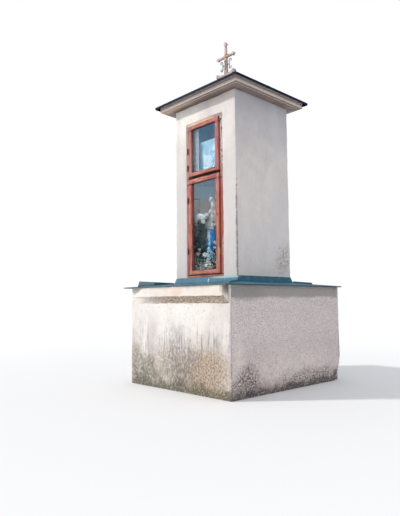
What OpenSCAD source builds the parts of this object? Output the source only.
// Wayside shrine: a rendered masonry pillar with a glazed niche, on a broad plinth, under a hipped roof.
// Millimetres, +Z up. The front faces -Y. The origin is on the ground, under the middle of the flashing.

/* [Plinth] */
// Width of the plinth across its front, render included
plinth_w = 1600; // [1400:10:1900]
// Depth of the plinth from front to back, render included
plinth_d = 1910; // [1700:10:2200]
// Height of the flashing's outer lip above the ground
lip_z = 1114; // [900:2:1300]
// Thickness of the smooth render on the front, left and back
render_t = 20; // [12:1:35]
// Thickness of the rough-cast coat on the right side
roughcast_t = 26; // [15:1:40]
// Width of the patch at the rear right corner where the coats have broken off
broken_w = 125; // [60:1:200]
// Height of that patch
broken_h = 290; // [150:5:400]

/* [Ledge under the flashing] */
// How far the corbelled ledge stands out from the plinth's front
ledge_out = 88; // [50:1:92]
// Height of the ledge's outer lower edge above the ground
ledge_low_z = 1001; // [940:1:1040]
// Height where the ledge's sloped underside meets the wall
ledge_wall_z = 928; // [880:1:935]
// Thickness of the render on the ledge's face
ledge_lip_t = 14; // [8:1:24]
// How far the ledge's left end stops short of the plinth's corner
ledge_left_gap = 4; // [2:1:250]
// How far the ledge's right end stops short of the plinth's corner
ledge_right_gap = 21; // [10:1:120]

/* [Flashing] */
// Height of the front left hip seam at its outer end, where it is bent up
left_seam_end_h = 62; // [18:1:80]
// How far the flashing reaches past the plinth's front
front_drip = 96; // [94:1:140]
// How far the flashing reaches past the plinth's sides and back
side_drip = 34; // [20:1:60]
// Rise of the flashing from its lip to the foot of the upstand
flashing_rise = 42; // [20:1:90]
// Height of the upstand against the pillar
upstand_h = 60; // [35:1:100]
// How far the foot of the upstand leans out from the pillar
upstand_lean = 18; // [8:1:40]
// Depth of the folded lip
lip_drop = 11; // [6:1:40]
// Height of the standing seams on the flashing's hips
flashing_seam_h = 18; // [12:1:40]
// Share of a front hip that its seam runs down
front_seam_reach = 0.73; // [0.3:0.01:0.9]
// Share of a back hip that its seam runs down
back_seam_reach = 0.4; // [0.3:0.01:0.9]

/* [Sheet] */
// Thickness that stands for a folded sheet and its cleats
sheet_t = 3; // [2:0.5:5]
// Thickness of a standing seam
seam_t = 7; // [4:0.5:12]

/* [Pillar] */
// Width of the pillar
tower_w = 1000; // [860:10:1100]
// Depth of the pillar
tower_d = 928; // [800:2:1100]
// How far the pillar's front stands behind the plinth's front
tower_set = 441; // [300:1:520]
// Height of the slab's underside above the ground
soffit_z = 3286; // [3100:2:3500]
// Height of the lintel over the niche
lintel_h = 212; // [180:2:260]

/* [Niche] */
// Width of the opening in the masonry
niche_w = 600; // [560:2:660]
// Shift of the opening from the pillar's axis
niche_shift = -6; // [-30:1:30]
// Height of the masonry sill above the ground
niche_low_z = 1221; // [1200:1:1235]
// Depth of the niche from the pillar's front
niche_d = 400; // [280:5:560]
// Thickness of the render that laps over the left and lower edges of the frame
lap_t = 8; // [4:1:14]
// Width of the frame's left member that the lap leaves in view
lap_show = 16; // [8:1:24]
// How much of that width the lap gains towards the top, where it narrows
lap_taper = 12; // [0:1:15]
// Height of the lap over the frame's sill
lap_sill_h = 16; // [6:1:20]

/* [Outer frame] */
// Width of a frame member seen from the front
frame_face = 32; // [26:1:38]
// Width of the frame member beside the leaves' free edges
latch_face = 44; // [30:1:52]
// Depth of a frame member from front to back
frame_depth = 64; // [50:1:90]
// Gap between a leaf and the frame beside it
leaf_gap = 6; // [5:0.5:9]
// How far the stop laps behind the leaf
stop_lap = 12; // [8:1:20]
// Gap between the leaf's back and the stop
stop_gap = 6; // [5:0.5:9]
// Height of the transom between the leaves
transom_h = 70; // [56:1:90]

/* [Leaves] */
// Thickness of a leaf
leaf_t = 40; // [34:1:48]
// How far a leaf stands out from the pillar's face
leaf_proud = 8; // [4:1:24]
// Width of a leaf's stiles
stile_w = 56; // [44:1:70]
// Height of the lower door
door_h = 1131; // [1000:1:1200]
// Height of the lower door's top rail
door_top_rail = 56; // [40:1:70]
// Height of the lower door's bottom rail
door_bottom_rail = 45; // [36:1:70]
// Open gap between the two leaves
leaves_gap = 32; // [20:1:48]
// Height of the upper leaf's top rail
upper_top_rail = 48; // [36:1:70]
// Height of the upper leaf's bottom rail
upper_bottom_rail = 46; // [34:1:70]
// Width of the glazing rebate
rebate_w = 8; // [6:1:12]
// Thickness of the wood in front of the glass
rebate_front = 28; // [20:1:30]
// Thickness of the glass
glass_t = 4; // [3:0.5:6]
// Length of the tenons on the rails
tenon_l = 34; // [20:1:40]
// Thickness of the tenons
tenon_t = 12; // [8:1:14]

/* [Hinges] */
// Radius of a hinge barrel
barrel_r = 6.5; // [5:0.5:8]
// Radius of a hinge pin
pin_r = 3.5; // [2.5:0.25:4]
// Height of one barrel
barrel_h = 36; // [24:1:50]
// Thickness of a hinge flag
flag_t = 2; // [1.5:0.25:2.5]
// Height of the door's lower hinge above the door's bottom edge
door_low_hinge = 273; // [150:1:400]
// Depth of the door's upper hinge below the door's top edge
door_high_hinge = 250; // [150:1:400]
// Height of the upper leaf's lower hinge above its bottom edge
upper_low_hinge = 110; // [60:1:200]
// Height of the upper leaf's upper hinge above its bottom edge
upper_high_hinge = 315; // [250:1:540]

/* [Roof] */
// How far the slab reaches past the pillar
slab_out = 138; // [90:1:180]
// Thickness of the slab
slab_t = 50; // [40:1:80]
// How far the sheet reaches past the slab
eave_out = 45; // [25:1:60]
// Height of the eave above the slab's top
eave_lift = 19; // [4:1:24]
// Depth of the folded eave
eave_drop = 27; // [8:1:50]
// Distance of the drip groove from the slab's edge
drip_in = 28; // [18:1:60]
// Width of the drip groove
drip_w = 14; // [8:1:24]
// Depth of the drip groove
drip_deep = 10; // [5:1:20]
// Rise of the roof from its eave to the foot of the cap
roof_rise = 287; // [220:1:330]
// Half of the width of the flat top that carries the cap
roof_top_half = 60; // [45:1:90]
// Shift of the roof's top to the left of the pillar's axis
apex_left = 19; // [0:1:40]
// Shift of the roof's top in front of the pillar's axis
apex_front = 55; // [0:1:80]
// Height of the standing seam on the roof's side planes
roof_seam_h = 12; // [8:1:35]

/* [Cross] */
// Distance of the scrolls' upper curls below the crossing
scroll_high_gap = 62; // [50:2:80]
// Distance of the scrolls' lower curls below the crossing
scroll_low_gap = 152; // [120:2:170]
// Height of the crossing above the roof's flat top
crossing_h = 330; // [300:5:420]
// Height of the cross's tip above the crossing
cross_top_h = 188; // [150:2:230]
// Half of the span of the arms
arm_l = 152; // [130:2:190]
// Thickness of the cross from front to back
cross_t = 30; // [24:1:44]
// Radius of one lobe of a trefoil end
lobe_r = 13; // [9:0.5:16]
// Half of the width of the bars where they cross
bar_half = 16; // [12:0.5:20]
// Half of the width of the bars at their necks
neck_half = 9; // [7:0.5:11]
// Half of the width of the shaft's foot
shaft_half = 23; // [19:0.5:28]
// Width of the slot in the lower shaft
slot_w = 14; // [8:1:18]
// Radius of the boss on the crossing
boss_r = 21; // [16:1:28]
// How far the boss stands out from the bars
boss_out = 7; // [4:1:12]
// Height of the shaft below the crossing
shaft_l = 230; // [210:2:270]
// Radius of a scroll's curl
curl_r = 17; // [12:1:20]
// Thickness of a scroll's bar
scroll_bar = 8; // [6:1:11]

/* [Contents] */
// Distance of the figure's axis behind the pillar's front
figure_back = 160; // [120:2:200]
// Height of the lace's lower hem above the shelf
lace_foot_gap = 70; // [40:5:120]
// Height of the figure
figure_h = 474; // [400:2:500]
// Radius of the figure's base
figure_r = 62; // [50:1:66]
// Height of the figure's pedestal
pedestal_h = 200; // [150:2:230]
// Radius of the pedestal's shaft
pedestal_r = 60; // [50:1:66]
// Height of the front vase
front_vase_h = 190; // [140:2:240]
// Height of the rear vase
rear_vase_h = 230; // [160:2:260]
// Width of the picture
picture_w = 270; // [200:5:300]
// Height of the picture
picture_h = 420; // [300:5:480]
// Radius of a candle cup
cup_r = 30; // [24:1:32]
// Height of a candle cup
cup_h = 66; // [50:1:90]
// Number of folds in the lace strip
lace_folds = 5; // [3:1:6]

/* [Hidden] */
$fn = 48;

// Plan of the plinth and its flashing
lip_w = plinth_w + 2 * side_drip;
lip_d = plinth_d + front_drip + side_drip;
plinth_x = plinth_w / 2;
plinth_front = -lip_d / 2 + front_drip;
plinth_back = plinth_front + plinth_d;
lip_rect = [-lip_w / 2, -lip_d / 2, lip_w / 2, lip_d / 2];

// Plan of the pillar
tower_x = tower_w / 2;
tower_front = plinth_front + tower_set;
tower_back = tower_front + tower_d;
tower_mid = (tower_front + tower_back) / 2;
tower_rect = [-tower_x, tower_front, tower_x, tower_back];
foot_rect = grown(tower_rect, upstand_lean);
foot_z = lip_z + flashing_rise;
bed_z = foot_z - sheet_t;
upstand_up = 6;
hip_start = 5;
hip_reach = [front_seam_reach, front_seam_reach, back_seam_reach, back_seam_reach];
hip_start_h = [left_seam_end_h / 5, flashing_seam_h, flashing_seam_h, flashing_seam_h];
hip_end_h = [left_seam_end_h, flashing_seam_h, flashing_seam_h, flashing_seam_h];

// Niche, frame and leaves
niche_left = niche_shift - niche_w / 2;
niche_right = niche_shift + niche_w / 2;
niche_top_z = soffit_z - lintel_h;
niche_back = tower_front + niche_d;
frame_front = tower_front + lap_t;
stop_front = tower_front - leaf_proud + leaf_t + stop_gap;
frame_back = frame_front + frame_depth;
frame_low_z = niche_low_z + frame_face - 2;
leaf_left = niche_left + frame_face + leaf_gap;
leaf_right = niche_right - latch_face - leaf_gap;
leaf_w = leaf_right - leaf_left;
leaf_front = tower_front - leaf_proud;
leaf_back = leaf_front + leaf_t;
door_low_z = frame_low_z + leaf_gap;
door_top_z = door_low_z + door_h;
upper_low_z = door_top_z + leaves_gap;
upper_top_z = niche_top_z - frame_face - leaf_gap;
transom_low_z = door_top_z + leaves_gap / 2 - transom_h / 2;
shelf_t = 40;
shelf_top_z = transom_low_z + transom_h - 18;
glass_slack = 1;
glass_front = leaf_front + rebate_front;

// Hinges
pin_x = leaf_left - leaf_gap / 2;
pin_y = leaf_front - barrel_r - 1;
pin_slack = 0.1;
barrel_gap = 0.5;
door_hinge_z = [door_low_z + door_low_hinge, door_top_z - door_high_hinge];
upper_hinge_z = [upper_low_z + upper_low_hinge, upper_low_z + upper_high_hinge];

// Roof
slab_rect = grown(tower_rect, slab_out);
eave_rect = grown(slab_rect, eave_out);
slab_top_z = soffit_z + slab_t;
eave_z = slab_top_z + eave_lift;
apex_x = -apex_left;
apex_y = tower_mid - apex_front;
apex_z = eave_z + roof_rise;
top_rect = [apex_x - roof_top_half, apex_y - roof_top_half, apex_x + roof_top_half, apex_y + roof_top_half];
cap_h = 22;
cap_lap = 26;
cap_in = 14;
crossing_z = apex_z + crossing_h;

// Corners of a rectangle [x0, y0, x1, y1], from the front left one, anticlockwise
function corners(r) = [[r[0], r[1]], [r[2], r[1]], [r[2], r[3]], [r[0], r[3]]];
// The rectangle r with every side moved out by the distance by
function grown(r, by) = [r[0] - by, r[1] - by, r[2] + by, r[3] + by];
// Point p at the height z
function at(p, z) = [p[0], p[1], z];
// Point that lies the share t of the way from a to b
function between(a, b, t) = a + t * (b - a);
// Level unit vector that points to the left of the way from a to b
function left_of(a, b) = let (way = [b[0] - a[0], b[1] - a[1]]) [-way[1], way[0], 0] / norm(way);

// Solid with four upper and four lower corners, each given anticlockwise seen from above
module slab_of(low, high) {
    polyhedron(points = concat(low, high),
        faces = [[0, 1, 2, 3], [7, 6, 5, 4], [1, 0, 4, 5], [2, 1, 5, 6], [3, 2, 6, 7], [0, 3, 7, 4]]);
}

// Solid below a hipped surface: upright sides under the rim, sloped planes up to a flat top
module under_hips(rim, rim_z, top, top_z, floor_z) {
    r = corners(rim);
    t = corners(top);
    rings = concat([for (p = r) at(p, floor_z)], [for (p = r) at(p, rim_z)], [for (p = t) at(p, top_z)]);
    polyhedron(points = rings,
        faces = concat([[0, 1, 2, 3], [11, 10, 9, 8]],
            [for (k = [0:3]) [(k + 1) % 4, k, k + 4, (k + 1) % 4 + 4]],
            [for (k = [0:3]) [(k + 1) % 4 + 4, k + 4, k + 8, (k + 1) % 4 + 8]]));
}

// One sloped side of a hipped sheet: side k runs from corner k to corner k + 1
module sloped_sheet(k, rim, rim_z, top, top_z) {
    r = corners(rim);
    t = corners(top);
    n = (k + 1) % 4;
    low_rim = rim_z - sheet_t;
    low_top = top_z - sheet_t;
    slab_of([at(r[k], low_rim), at(r[n], low_rim), at(t[n], low_top), at(t[k], low_top)],
        [at(r[k], rim_z), at(r[n], rim_z), at(t[n], top_z), at(t[k], top_z)]);
}

// Folded edge that hangs from side k of a sheet
module folded_edge(k, rim, rim_z, drop) {
    r = corners(rim);
    i = corners(grown(rim, -sheet_t));
    n = (k + 1) % 4;
    slab_of([at(r[k], rim_z - drop), at(r[n], rim_z - drop), at(i[n], rim_z - drop), at(i[k], rim_z - drop)],
        [at(r[k], rim_z - sheet_t / 2), at(r[n], rim_z - sheet_t / 2),
            at(i[n], rim_z - sheet_t / 2), at(i[k], rim_z - sheet_t / 2)]);
}

// Standing seam on a sloped line from a (high end) to b (low end), its thickness to the left of that way
module standing_seam(a, b, h, end_h) {
    end = between(b, a, 0.04);
    end_up = [0, 0, end_h];
    across = seam_t * left_of(a, b);
    low = [0, 0, -sheet_t / 2];
    up = [0, 0, h];
    slab_of([a + low, b + low, b + across + low, a + across + low],
        [a + up, end + end_up, end + across + end_up, a + across + up]);
}

// Hip of a sheet from just below its upper corner k towards its rim, stopping at the share reach
module hip_seam(k, rim, rim_z, top, top_z, reach, h, end_h) {
    a = at(corners(top)[k], top_z);
    b = at(corners(rim)[k], rim_z);
    standing_seam(between(a, b, hip_start / norm(b - a)), between(a, b, reach), h, end_h);
}

// Block between two corners
module block(low, high) {
    translate(low) cube(high - low);
}

// Everything below the flashing's underside
module below_flashing() {
    under_hips(lip_rect, lip_z - sheet_t, foot_rect, bed_z, 0);
}

module plinth_core() {
    color("#b7a99a")
        intersection() {
            block([-plinth_x + render_t, plinth_front + render_t, 0],
                [plinth_x - roughcast_t, plinth_back - render_t, soffit_z]);
            below_flashing();
        }
}

// Coat between two corners, cut off under the flashing
module coat(low, high) {
    intersection() {
        block(low, high);
        below_flashing();
    }
}

module plinth_front_render() {
    color("#e3dad3") coat([-plinth_x, plinth_front, 0], [plinth_x, plinth_front + render_t, soffit_z]);
}

// Ragged patch at the rear right corner, through both coats but not through the masonry
module broken_corner() {
    ragged = [[0, 1], [0.1, 0.86], [0.14, 0.7], [0.28, 0.6], [0.34, 0.46], [0.52, 0.4], [0.6, 0.28],
        [0.86, 0.2], [1, 0.12], [0.92, -0.1], [0, -0.1]];
    translate([0, plinth_back + 1, 0])
        rotate([90, 0, 90])
            linear_extrude(plinth_x + 1)
                polygon([for (p = ragged) [-p[0] * broken_w, p[1] * broken_h]]);
}

module plinth_right_roughcast() {
    color("#b5aca6")
        difference() {
            coat([plinth_x - roughcast_t, plinth_front + render_t, 0],
                [plinth_x, plinth_back - render_t, soffit_z]);
            broken_corner();
        }
}

module plinth_back_render() {
    color("#c8c0b8")
        difference() {
            coat([-plinth_x, plinth_back - render_t, 0], [plinth_x, plinth_back, soffit_z]);
            translate([plinth_x - 0.5 * broken_w, 0, 0]) broken_corner();
        }
}

module plinth_left_render() {
    color("#d8cfc7")
        coat([-plinth_x, plinth_front + render_t, 0],
            [-plinth_x + render_t, plinth_back - render_t, soffit_z]);
}

module plinth_ledge() {
    color("#d9c9b8")
        intersection() {
            translate([-plinth_x + ledge_left_gap, 0, 0])
                rotate([90, 0, 90])
                    linear_extrude(plinth_w - ledge_left_gap - ledge_right_gap)
                        polygon([[plinth_front, ledge_wall_z],
                            [plinth_front - ledge_out + ledge_lip_t, ledge_low_z + 5],
                            [plinth_front - ledge_out + ledge_lip_t - 3, ledge_low_z],
                            [plinth_front - ledge_out, ledge_low_z], [plinth_front - ledge_out, foot_z],
                            [plinth_front, foot_z]]);
            below_flashing();
        }
}

// Side k of the flashing, with its upstand, its folded lip and the seam on its hip
module flashing_side(k) {
    color("#2f6f93")
        union() {
            sloped_sheet(k, lip_rect, lip_z, foot_rect, foot_z);
            slab_of([for (p = upstand_plan(k)) at(p[0], p[1] - sheet_t)],
                [for (p = upstand_plan(k)) at(p[0], p[1] + upstand_up)]);
            folded_edge(k, lip_rect, lip_z, lip_drop);
            hip_seam(k, lip_rect, lip_z, foot_rect, foot_z, hip_reach[k], hip_start_h[k],
                hip_end_h[k]);
        }
}

// Corners of the upstand's plan on side k, each with its height
function upstand_plan(k) = let (f = corners(foot_rect), t = corners(tower_rect), n = (k + 1) % 4)
    [[f[k], foot_z], [f[n], foot_z], [t[n], foot_z + upstand_h], [t[k], foot_z + upstand_h]];

module flashing_front() { flashing_side(0); }
module flashing_right() { flashing_side(1); }
module flashing_back() { flashing_side(2); }
module flashing_left() { flashing_side(3); }

// Side wall of the pillar, as deep as the pillar
module side_wall(x0, x1) {
    block([x0, tower_front, bed_z], [x1, tower_back, soffit_z]);
}

lap_x = niche_left + frame_face - lap_show;
module pillar_left_wall() {
    color("#e4dbd4") {
        side_wall(-tower_x, niche_left);
        translate([0, tower_front + lap_t, 0])
            rotate([90, 0, 0])
                linear_extrude(lap_t)
                    polygon([[niche_left, bed_z], [lap_x, bed_z], [lap_x, transom_low_z],
                        [lap_x - lap_taper, niche_top_z], [niche_left, niche_top_z]]);
    }
}

module pillar_right_wall() {
    color("#d3cdca") side_wall(niche_right, tower_x);
}

module pillar_back_wall() {
    color("#d3cdca") block([niche_left, niche_back, bed_z], [niche_right, tower_back, soffit_z]);
}

module pillar_lintel() {
    color("#e4dbd4") block([niche_left, tower_front, niche_top_z], [niche_right, niche_back, soffit_z]);
}

module pillar_sill() {
    color("#e4dbd4") {
        block([niche_left, tower_front + lap_t, bed_z], [niche_right, niche_back, niche_low_z]);
        block([lap_x, tower_front, bed_z], [niche_right, tower_front + lap_t, niche_low_z + lap_sill_h]);
    }
}

module niche_shelf() {
    color("#b9b2a8")
        block([niche_left, frame_back, shelf_top_z - shelf_t], [niche_right, niche_back, shelf_top_z]);
}

// Upright prism over the rectangle r
module slab_over(r, low_z, high_z) {
    block([r[0], r[1], low_z], [r[2], r[3], high_z]);
}

// Slab with a drip groove round its underside
module roof_slab() {
    color("#d8d0c8")
        difference() {
            slab_over(slab_rect, soffit_z, slab_top_z);
            difference() {
                slab_over(grown(slab_rect, -drip_in), soffit_z - 1, soffit_z + drip_deep);
                slab_over(grown(slab_rect, -drip_in - drip_w), soffit_z - 2, soffit_z + drip_deep + 1);
            }
        }
}

module roof_bed() {
    color("#a79c90")
        intersection() {
            slab_over(slab_rect, slab_top_z, apex_z);
            under_hips(eave_rect, eave_z - sheet_t, top_rect, apex_z - sheet_t, slab_top_z);
        }
}

// Side k of the roof's sheet with its folded eave
module roof_side(k) {
    sloped_sheet(k, eave_rect, eave_z, top_rect, apex_z);
    folded_edge(k, eave_rect, eave_z, eave_drop);
}

// Standing seam down the middle of a side plane, from the cap at x_top to the eave at x_eave
module roof_mid_seam(x_top, x_eave) {
    top = [x_top, apex_y, apex_z];
    eave = [x_eave, apex_y, eave_z];
    aside = seam_t / 2 * left_of(top, eave);
    start = between(top, eave, (cap_lap + 10) / norm(eave - top));
    standing_seam(start - aside, between(top, eave, 0.985) - aside, roof_seam_h, roof_seam_h);
}

module roof_front_sheet() {
    color("#101c38") roof_side(0);
}

module roof_right_sheet() {
    color("#101c38") {
        roof_side(1);
        roof_mid_seam(top_rect[2], eave_rect[2]);
    }
}

module roof_back_sheet() {
    color("#101c38") roof_side(2);
}

module roof_left_sheet() {
    color("#101c38") {
        roof_side(3);
        roof_mid_seam(top_rect[0], eave_rect[0]);
    }
}

module roof_cap() {
    color("#16233f")
        difference() {
            under_hips(grown(top_rect, cap_lap), apex_z - 2, grown(top_rect, -cap_in), apex_z + cap_h,
                apex_z - 40);
            under_hips(eave_rect, eave_z, top_rect, apex_z, slab_top_z);
        }
}

// Draws the children upright in the plane of the cross, t thick, about the cross's axis
module in_cross_plane(t) {
    translate([apex_x, apex_y + t / 2, 0]) rotate([90, 0, 0]) linear_extrude(t) children();
}

// Three lobes round a neck's end, with the middle one pointing along +X
module trefoil() {
    translate([lobe_r * 0.9, 0]) circle(lobe_r);
    for (s = [-1, 1]) translate([-lobe_r * 0.35, s * lobe_r * 0.8]) circle(lobe_r);
}

// Bar from the crossing out to a trefoil end at the distance l, along +X
module tapered_bar(l) {
    neck_x = l - 1.9 * lobe_r;
    polygon([[0, -bar_half], [neck_x, -neck_half], [neck_x, neck_half], [0, bar_half]]);
    translate([neck_x, 0]) trefoil();
}

foot_low_z = apex_z + cap_h;
foot_top_z = crossing_z - shaft_l;
foot_t = cross_t + 16;

// Saddle-shaped foot with a pair of lobes at each raised end
module cross_foot() {
    end_x = arm_l - 1.5 * lobe_r;
    saddle_rise = 22;
    color("#c3b0ab")
        in_cross_plane(foot_t)
            union() {
                polygon([[-52, foot_low_z], [52, foot_low_z], [40, foot_low_z + 26],
                    [end_x, foot_top_z - 10],
                    [end_x, foot_top_z + saddle_rise], [shaft_half + 8, foot_top_z],
                    [-shaft_half - 8, foot_top_z], [-end_x, foot_top_z + saddle_rise],
                    [-end_x, foot_top_z - 10], [-40, foot_low_z + 26]]);
                for (s = [-1, 1]) {
                    translate([s * end_x, foot_top_z + saddle_rise - 6]) circle(1.3 * lobe_r);
                    translate([s * (end_x + 4), foot_top_z - 4]) circle(1.1 * lobe_r);
                }
            }
}

// Outline of the lower shaft, which narrows from the foot to the crossing
module lower_shaft() {
    polygon([[-shaft_half, foot_top_z], [shaft_half, foot_top_z], [shaft_half - 3, crossing_z - 60],
        [bar_half, crossing_z], [-bar_half, crossing_z], [-shaft_half + 3, crossing_z - 60]]);
}

// Cross with trefoil ends, a slot down its lower shaft and a round boss on the crossing
module cross() {
    slot_low = foot_top_z + 50;
    slot_high = crossing_z - 52;
    color("#c9b5b0") {
        in_cross_plane(cross_t)
            difference() {
                union() {
                    lower_shaft();
                    translate([0, crossing_z]) {
                        tapered_bar(arm_l);
                        rotate(180) tapered_bar(arm_l);
                        rotate(90) tapered_bar(cross_top_h);
                    }
                }
                translate([-slot_w / 2, slot_low]) square([slot_w, slot_high - slot_low]);
            }
        in_cross_plane(cross_t + 2 * boss_out)
            translate([0, crossing_z]) circle(boss_r);
    }
}

// Ring sector of middle radius r from angle a0 to a1
module bent_bar(r, a0, a1) {
    steps = 12;
    outer = r + scroll_bar / 2;
    inner = r - scroll_bar / 2;
    turn = [for (i = [0:steps]) a0 + (a1 - a0) * i / steps];
    polygon(concat([for (a = turn) outer * [cos(a), sin(a)]],
        [for (i = [steps:-1:0]) inner * [cos(turn[i]), sin(turn[i])]]));
}

// One C-scroll beside the shaft, on the side s
module scroll(s) {
    curl_x = shaft_half + scroll_bar + 2.4 * curl_r;
    high_z = crossing_z - scroll_high_gap;
    low_z = crossing_z - scroll_low_gap;
    back_x = curl_x - curl_r;
    mirror([s < 0 ? 1 : 0, 0])
        union() {
            translate([curl_x, high_z]) bent_bar(curl_r, -60, 180);
            translate([curl_x, low_z]) bent_bar(curl_r, -180, 60);
            translate([back_x - scroll_bar / 2, low_z]) square([scroll_bar, high_z - low_z]);
            translate([0, (high_z + low_z) / 2 - 5]) square([back_x, 10]);
        }
}

// The pair of scrolls, cut off where they meet the shaft
module cross_scrolls() {
    color("#2c4a52")
        in_cross_plane(scroll_bar)
            difference() {
                union() {
                    scroll(1);
                    scroll(-1);
                }
                lower_shaft();
            }
}

// Upright frame member of the width face with its stop, from x0 towards the side s
module frame_stile(x0, s, face) {
    stop_x = x0 + s * stop_reach(face);
    translate([0, 0, frame_low_z])
        linear_extrude(niche_top_z - frame_face - frame_low_z)
            polygon([[x0, frame_front], [x0 + s * face, frame_front], [x0 + s * face, stop_front],
                [stop_x, stop_front], [stop_x, frame_back], [x0, frame_back]]);
}

// How far the stop of a member of the width face reaches into the opening
function stop_reach(face) = face + leaf_gap + stop_lap;
stop_left = niche_left + stop_reach(frame_face);
stop_right = niche_right - stop_reach(latch_face);
stop_top_z = niche_top_z - stop_reach(frame_face);

module frame_stiles() {
    color("#a4554d") {
        frame_stile(niche_left, 1, frame_face);
        frame_stile(niche_right, -1, latch_face);
    }
}

module frame_head() {
    color("#a4554d") {
        block([niche_left, frame_front, niche_top_z - frame_face], [niche_right, frame_back, niche_top_z]);
        block([stop_left, stop_front, stop_top_z], [stop_right, frame_back, niche_top_z - frame_face]);
    }
}

module frame_transom() {
    color("#7c3f38")
        block([stop_left, stop_front, transom_low_z], [stop_right, frame_back, transom_low_z + transom_h]);
}

// Sill with a sloped front edge and the stop that the door closes on
module frame_sill() {
    fall = 8;
    color("#a4554d") {
        translate([niche_left, 0, 0])
            rotate([90, 0, 90])
                linear_extrude(niche_w)
                    polygon([[frame_front, niche_low_z], [frame_back, niche_low_z],
                        [frame_back, frame_low_z], [stop_front, frame_low_z],
                        [frame_front, frame_low_z - fall]]);
        block([stop_left, stop_front, frame_low_z],
            [stop_right, frame_back, frame_low_z + leaf_gap + stop_lap]);
    }
}

// Half of a lift-off hinge that the frame carries, with its pin, at the joint height z
module hinge_below(z) {
    translate([pin_x, pin_y, z - barrel_h]) cylinder(r = barrel_r, h = barrel_h - barrel_gap);
    translate([pin_x, pin_y, z - barrel_h]) cylinder(r = pin_r, h = 2 * barrel_h - 6);
    block([pin_x - leaf_gap / 2, pin_y, z - barrel_h],
        [pin_x - leaf_gap / 2 + flag_t, stop_front - 2, z - barrel_gap]);
}

// Half of a lift-off hinge that a leaf carries, with its blind bore, at the joint height z
module hinge_above(z) {
    difference() {
        union() {
            translate([pin_x, pin_y, z]) cylinder(r = barrel_r, h = barrel_h);
            block([pin_x + leaf_gap / 2 - flag_t, pin_y, z],
                [pin_x + leaf_gap / 2, leaf_back - 4, z + barrel_h]);
        }
        translate([pin_x, pin_y, z - 1]) cylinder(r = pin_r + pin_slack, h = barrel_h - 4);
    }
}

module frame_hinge_pins() {
    color("#5b2f2b")
        for (z = concat(door_hinge_z, upper_hinge_z)) hinge_below(z);
}

// Upright member of a leaf, rebated for the glass, with a mortise for each rail
module leaf_stile(x0, s, low_z, high_z, low_rail, top_rail) {
    difference() {
        translate([0, 0, low_z])
            linear_extrude(high_z - low_z)
                polygon([[x0, leaf_front], [x0 + s * stile_w, leaf_front], [x0 + s * stile_w, glass_front],
                    [x0 + s * (stile_w - rebate_w), glass_front], [x0 + s * (stile_w - rebate_w), leaf_back],
                    [x0, leaf_back]]);
        tenon(x0 + s * stile_w, -s, low_z, low_rail);
        tenon(x0 + s * stile_w, -s, high_z - top_rail, top_rail);
    }
}

// Tongue of a rail that reaches from the stile's edge at x0 into the stile
module tenon(x0, s, z, rail_h) {
    mid_y = (leaf_front + glass_front) / 2;
    margin = 9;
    x1 = x0 + s * (rebate_w + tenon_l);
    block([min(x0, x1), mid_y - tenon_t / 2, z + margin],
        [max(x0, x1), mid_y + tenon_t / 2, z + rail_h - margin]);
}

// Level member of a leaf between its stiles, rebated above or below for the glass
module leaf_rail(z, rail_h, glass_above) {
    x0 = leaf_left + stile_w;
    x1 = leaf_right - stile_w;
    back_z = glass_above ? z : z + rebate_w;
    block([x0, leaf_front, z], [x1, glass_front, z + rail_h]);
    block([x0 - rebate_w, glass_front, back_z], [x1 + rebate_w, leaf_back, back_z + rail_h - rebate_w]);
    tenon(x0, -1, z, rail_h);
    tenon(x1, 1, z, rail_h);
}

// Pane between the rebates of a leaf
module leaf_pane(low_z, high_z) {
    inset = rebate_w - glass_slack;
    block([leaf_left + stile_w - inset, glass_front, low_z - inset],
        [leaf_right - stile_w + inset, glass_front + glass_t, high_z + inset]);
}

module upper_leaf_stiles() {
    color("#bb6c60") {
        leaf_stile(leaf_left, 1, upper_low_z, upper_top_z, upper_bottom_rail, upper_top_rail);
        leaf_stile(leaf_right, -1, upper_low_z, upper_top_z, upper_bottom_rail, upper_top_rail);
    }
}

module upper_leaf_rails() {
    color("#bb6c60") {
        leaf_rail(upper_low_z, upper_bottom_rail, true);
        leaf_rail(upper_top_z - upper_top_rail, upper_top_rail, false);
    }
}

module upper_leaf_glass() {
    color("#9dc4dd", 0.5) leaf_pane(upper_low_z + upper_bottom_rail, upper_top_z - upper_top_rail);
}

module upper_leaf_hinges() {
    color("#5b2f2b")
        for (z = upper_hinge_z) hinge_above(z);
}

module door_stiles() {
    color("#bb6c60") {
        leaf_stile(leaf_left, 1, door_low_z, door_top_z, door_bottom_rail, door_top_rail);
        leaf_stile(leaf_right, -1, door_low_z, door_top_z, door_bottom_rail, door_top_rail);
    }
}

module door_rails() {
    color("#bb6c60") {
        leaf_rail(door_low_z, door_bottom_rail, true);
        leaf_rail(door_top_z - door_top_rail, door_top_rail, false);
    }
}

module door_glass() {
    color("#9dc4dd", 0.5) leaf_pane(door_low_z + door_bottom_rail, door_top_z - door_top_rail);
}

module door_hinges() {
    color("#5b2f2b")
        for (z = door_hinge_z) hinge_above(z);
}

// Frame of the picture with a raised moulding round a sunk panel
picture_x = -25;
picture_y = frame_back + 20;
module picture_frame() {
    border = 14;
    thick = 16;
    sunk = 6;
    color("#a9c6d8")
        translate([picture_x - picture_w / 2, picture_y, shelf_top_z])
            difference() {
                cube([picture_w, thick, picture_h]);
                translate([border, -1, border])
                    cube([picture_w - 2 * border, sunk + 1, picture_h - 2 * border]);
                translate([border / 2, -1, border / 2])
                    cube([picture_w - border, sunk / 3 + 1, picture_h - border]);
            }
}

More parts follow.
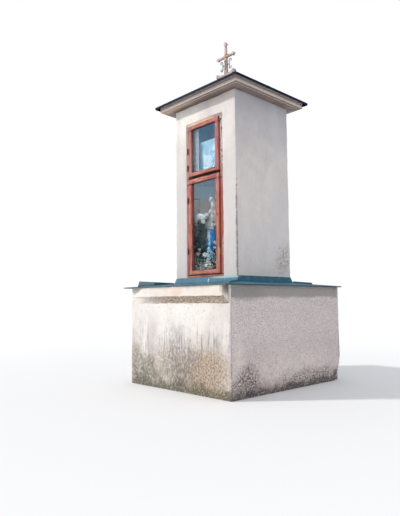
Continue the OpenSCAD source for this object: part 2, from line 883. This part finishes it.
// Strip of lace tacked under the head, folded to and fro in plan
module lace_curtain() {
    fold_w = 14;
    fold_d = 12;
    lace_t = 3;
    seat_gap = 0.3;
    low_z = shelf_top_z + lace_foot_gap;
    front = [for (i = [0:lace_folds]) [i * fold_w, i % 2 * fold_d]];
    color("#e6e4e0")
        translate([stop_left + 4, frame_back - fold_d - lace_t - 6, low_z])
            linear_extrude(stop_top_z - seat_gap - low_z)
                polygon(concat(front, [for (i = [lace_folds:-1:0]) front[i] + [0, lace_t]]));
}

figure_x = -55;
figure_y = tower_front + figure_back;
figure_low_z = niche_low_z + pedestal_h;

// Turned pedestal with a foot, a neck and a cap
module figure_pedestal() {
    foot = 12;
    color("#9a948c")
        translate([figure_x, figure_y, niche_low_z])
            rotate_extrude()
                polygon([[0, 0], [pedestal_r + foot, 0], [pedestal_r + foot, 22], [pedestal_r + 4, 34],
                    [pedestal_r, 44], [pedestal_r - 4, pedestal_h - 44], [pedestal_r + 8, pedestal_h - 26],
                    [pedestal_r + 8, pedestal_h], [0, pedestal_h]]);
}

// Profile point of the figure: radius and height as shares of the figure's own sizes
function share(r, z) = [r * figure_r, z * figure_h];

// Turned robe on its round base
module figure_robe() {
    rotate_extrude()
        polygon([[0, 0], share(1, 0), share(1, 0.04), share(0.8, 0.055), share(0.76, 0.2), share(0.68, 0.36),
            share(0.56, 0.53), share(0.6, 0.62), share(0.62, 0.72), share(0.54, 0.78), share(0.3, 0.82),
            share(0.22, 0.84), share(0.2, 0.87), [0, 0.87 * figure_h]]);
}

// Mantle over the shoulders, open in front
module figure_mantle() {
    rotate([0, 0, -48])
        rotate_extrude(angle = 276)
            polygon([share(0.12, 0.07), share(0.94, 0.065), share(0.9, 0.16),
                share(0.84, 0.34), share(0.76, 0.5), share(0.78, 0.62), share(0.8, 0.7),
                share(0.72, 0.77), share(0.5, 0.815), share(0.34, 0.83),
                share(0.12, 0.8), share(0.12, 0.1)]);
}

// Veil round the head, open towards the face
module figure_veil(head_z, head_r) {
    rotate([0, 0, 8])
        rotate_extrude(angle = 164)
            polygon([[0.2 * head_r, 0.77 * figure_h], [1.5 * head_r, 0.785 * figure_h],
                [1.3 * head_r, head_z], [1.05 * head_r, head_z + 0.75 * head_r], [0.2 * head_r, figure_h]]);
}

// Robed figure with a mantle, a veil and joined hands; it faces the glass
module figure() {
    head_z = 0.905 * figure_h;
    head_r = 0.07 * figure_h;
    hand_z = 0.6 * figure_h;
    color("#3f7fc0")
        translate([figure_x, figure_y, figure_low_z]) {
            figure_robe();
            figure_mantle();
            translate([0, 0, head_z]) sphere(r = head_r);
            figure_veil(head_z, head_r);
            translate([0, -0.62 * figure_r, hand_z])
                cylinder(r1 = 0.2 * figure_r, r2 = 0.09 * figure_r, h = 0.12 * figure_h);
        }
}

// Each vase's place from the pillar's axis and front, with its height
vases = [[-195, 150, front_vase_h], [-130, 303, rear_vase_h]];
module flower_vases() {
    wall = 5;
    color("#d9d4cc")
        for (v = vases)
            translate([v[0], tower_front + v[1], niche_low_z])
                rotate_extrude()
                    polygon([[0, 0], [34, 0], [36, 8], [30, 16], [44, 0.28 * v[2]], [52, 0.45 * v[2]],
                        [44, 0.64 * v[2]], [30, 0.8 * v[2]], [32, 0.92 * v[2]], [40, v[2]],
                        [40 - wall, v[2]], [31 - wall, 0.92 * v[2]], [30 - wall, 0.8 * v[2]],
                        [44 - wall, 0.62 * v[2]], [52 - wall, 0.45 * v[2]],
                        [32, 0.2 * v[2]], [0, 0.14 * v[2]]]);
}

// Two cups filled with wax to just below their rims
cup_spots = [42, 110];
module candle_cups() {
    rim_t = 3;
    wax_drop = 8;
    color("#e9e6e2")
        for (x = cup_spots)
            translate([x, frame_back + cup_r + 10, niche_low_z])
                rotate_extrude()
                    polygon([[0, 0], [cup_r - 4, 0], [cup_r, 12], [cup_r, cup_h],
                        [cup_r - rim_t, cup_h],
                        [cup_r - rim_t, cup_h - wax_drop], [0, cup_h - wax_drop]]);
}

plinth_core();
plinth_front_render();
plinth_right_roughcast();
plinth_back_render();
plinth_left_render();
plinth_ledge();
flashing_front();
flashing_right();
flashing_back();
flashing_left();
pillar_left_wall();
pillar_right_wall();
pillar_back_wall();
pillar_lintel();
pillar_sill();
niche_shelf();
roof_slab();
roof_bed();
roof_front_sheet();
roof_right_sheet();
roof_back_sheet();
roof_left_sheet();
roof_cap();
cross_foot();
cross();
cross_scrolls();
frame_stiles();
frame_head();
frame_transom();
frame_sill();
frame_hinge_pins();
upper_leaf_stiles();
upper_leaf_rails();
upper_leaf_glass();
upper_leaf_hinges();
door_stiles();
door_rails();
door_glass();
door_hinges();
picture_frame();
lace_curtain();
figure();
figure_pedestal();
flower_vases();
candle_cups();
